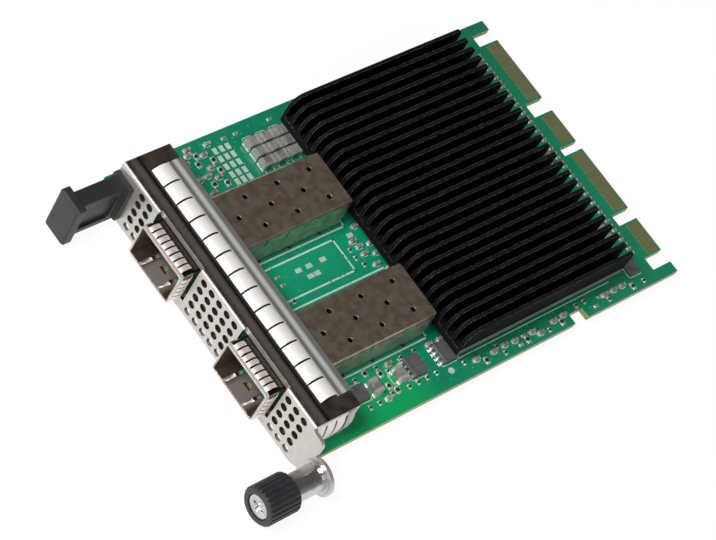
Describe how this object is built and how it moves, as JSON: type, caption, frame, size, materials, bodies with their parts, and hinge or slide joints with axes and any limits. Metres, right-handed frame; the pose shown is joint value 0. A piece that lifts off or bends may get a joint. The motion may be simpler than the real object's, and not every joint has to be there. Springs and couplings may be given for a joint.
{
  "type": "mezzanine network card",
  "caption": "Flat network card with a finned heat sink, pluggable transceiver ports in a vented faceplate, pull tab, captive thumbscrew and card edge contacts.",
  "frame": {"origin": "middle of the card edge at the end of the contact tabs, half way through the board's thickness", "axes": "+Y is the way the card slides into its host, +X is to the right seen from the faceplate, +Z is out of the board's heat sink side"},
  "size_m": [0.0845, 0.131, 0.0159],
  "materials": {
    "board": "glossy green solder mask over glass fibre",
    "contact": "gold plated",
    "heat_sink": "black anodised",
    "steel_screw": "plain",
    "chip_package": "green substrate",
    "thermal_pad": "soft grey",
    "cage": "bright nickel plated",
    "collar": "bright nickel plated copper alloy",
    "connector": "black",
    "faceplate": "bright plated",
    "gasket": "bright plated",
    "tab": "fine grained black",
    "knob": "ribbed black",
    "screw": "turned",
    "component_black": "moulded",
    "component_grey": "sintered",
    "ceramic": "ceramic",
    "resistor": "coated",
    "solder": "tinned",
    "lamp": "clear"
  },
  "bodies": {
    "card": {"circuit_board": "board", "edge_contacts_top": "contact", "edge_contacts_bottom": "contact", "heat_sink": "heat_sink", "heat_sink_screws": "steel_screw", "faceplate_screws": "steel_screw", "controller_chip": "chip_package", "thermal_pad": "thermal_pad", "left_cage": "cage", "right_cage": "cage", "left_cage_collar": "collar", "right_cage_collar": "collar", "left_connector": "connector", "right_connector": "connector", "faceplate": "faceplate", "top_gasket": "gasket", "left_gasket": "gasket", "right_gasket": "gasket", "pull_tab": "tab", "pull_tab_screws": "steel_screw", "screw_ferrule": "screw", "screw_spring": "steel_screw", "bulk_capacitors": "component_grey", "ceramic_capacitors": "ceramic", "chip_resistors": "resistor", "part_terminals": "solder", "leaded_chips": "component_black", "chip_leads": "solder", "flat_chips": "component_black", "power_inductors": "component_grey", "oscillators": "solder", "status_lights": "lamp", "bare_pads": "solder"},
    "screw_carrier": {"retaining_ring": "screw"},
    "thumbscrew": {"thumbscrew_shaft": "screw", "thumbscrew_knob": "knob"}
  },
  "joints": [
    {"name": "screw_slide", "type": "slide", "parent": "card", "child": "screw_carrier", "axis": [0, 1, 0], "range_m": [0, 0.0044], "stiffness_N_per_m": 300, "springref_m": -0.002, "deforming": ["screw_spring"]},
    {"name": "screw_spin", "type": "hinge", "parent": "screw_carrier", "child": "thumbscrew", "pos_m": [0.0419, -0.116, 0.00229], "axis": [0, 1, 0], "continuous": true}
  ]
}
